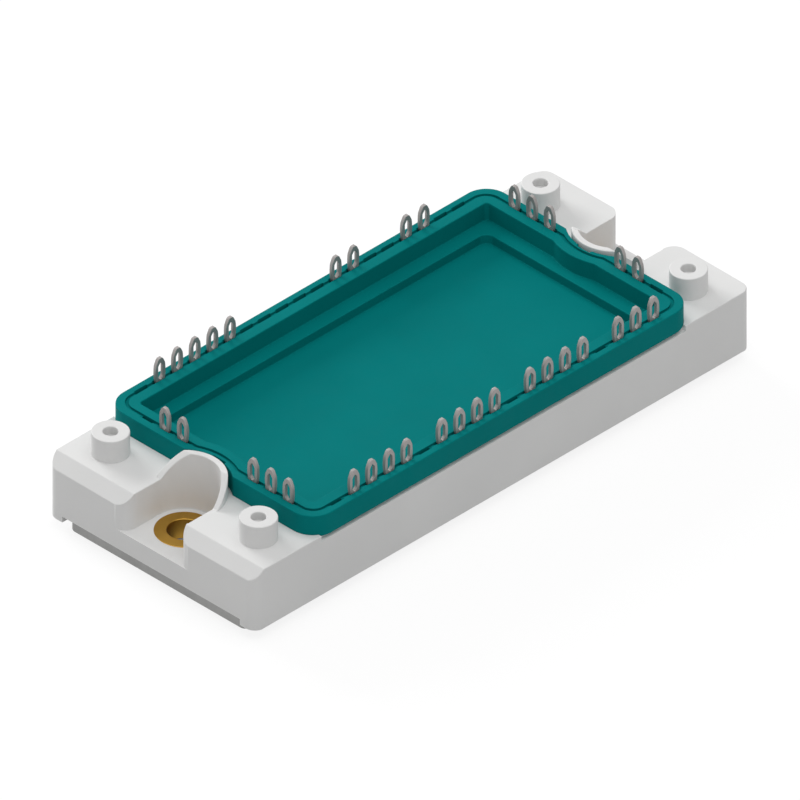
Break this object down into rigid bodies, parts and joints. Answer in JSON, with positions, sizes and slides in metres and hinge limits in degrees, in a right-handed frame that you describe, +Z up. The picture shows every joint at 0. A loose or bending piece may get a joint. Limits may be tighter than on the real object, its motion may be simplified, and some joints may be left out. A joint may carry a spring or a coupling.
{
  "type": "igbt power module",
  "caption": "Flat power module: pale moulded housing with screw recesses at both ends, teal sunk lid, press-fit pins along all four sides and a plated base plate.",
  "frame": {"origin": "centre of the base plate's mounting face", "axes": "+X along the module's length between the two mounting screws, +Y across its width, +Z up from the heat sink towards the circuit board"},
  "size_m": [0.1076, 0.045, 0.0205],
  "materials": {
    "housing_plastic": "pale grey glass-filled moulding, lightly textured",
    "lid_plastic": "teal moulding, satin",
    "plate_metal": "matt nickel plating over copper",
    "brass": "turned brass, satin",
    "tin": "matt tin plating over copper alloy strip",
    "copper": "bare copper, matt",
    "ceramic": "white alumina, matt",
    "silicon": "silicon die with an aluminium top, satin",
    "thermistor_body": "dark fired ceramic",
    "wire_aluminium": "bright drawn aluminium"
  },
  "bodies": {
    "root": {"base_plate": "plate_metal", "bond_wires": "wire_aluminium", "bushing_left": "brass", "bushing_right": "brass", "chip_diode_1": "silicon", "chip_diode_2": "silicon", "chip_diode_3": "silicon", "chip_diode_4": "silicon", "chip_diode_5": "silicon", "chip_diode_6": "silicon", "chip_diode_7": "silicon", "chip_igbt_1": "silicon", "chip_igbt_2": "silicon", "chip_igbt_3": "silicon", "chip_igbt_4": "silicon", "chip_igbt_5": "silicon", "chip_igbt_6": "silicon", "chip_igbt_7": "silicon", "chips_rectifier": "silicon", "housing": "housing_plastic", "lid": "lid_plastic", "pin_back_01": "tin", "pin_back_02": "tin", "pin_back_03": "tin", "pin_back_04": "tin", "pin_back_05": "tin", "pin_back_06": "tin", "pin_back_07": "tin", "pin_back_08": "tin", "pin_back_09": "tin", "pin_front_01": "tin", "pin_front_02": "tin", "pin_front_03": "tin", "pin_front_04": "tin", "pin_front_05": "tin", "pin_front_06": "tin", "pin_front_07": "tin", "pin_front_08": "tin", "pin_front_09": "tin", "pin_front_10": "tin", "pin_front_11": "tin", "pin_front_12": "tin", "pin_front_13": "tin", "pin_front_14": "tin", "pin_front_15": "tin", "pin_left_01": "tin", "pin_left_02": "tin", "pin_left_03": "tin", "pin_left_04": "tin", "pin_left_05": "tin", "pin_right_01": "tin", "pin_right_02": "tin", "pin_right_03": "tin", "pin_right_04": "tin", "pin_right_05": "tin", "substrate_ceramic": "ceramic", "substrate_copper_bottom": "copper", "substrate_copper_top": "copper", "thermistor": "thermistor_body"}
  },
  "joints": []
}
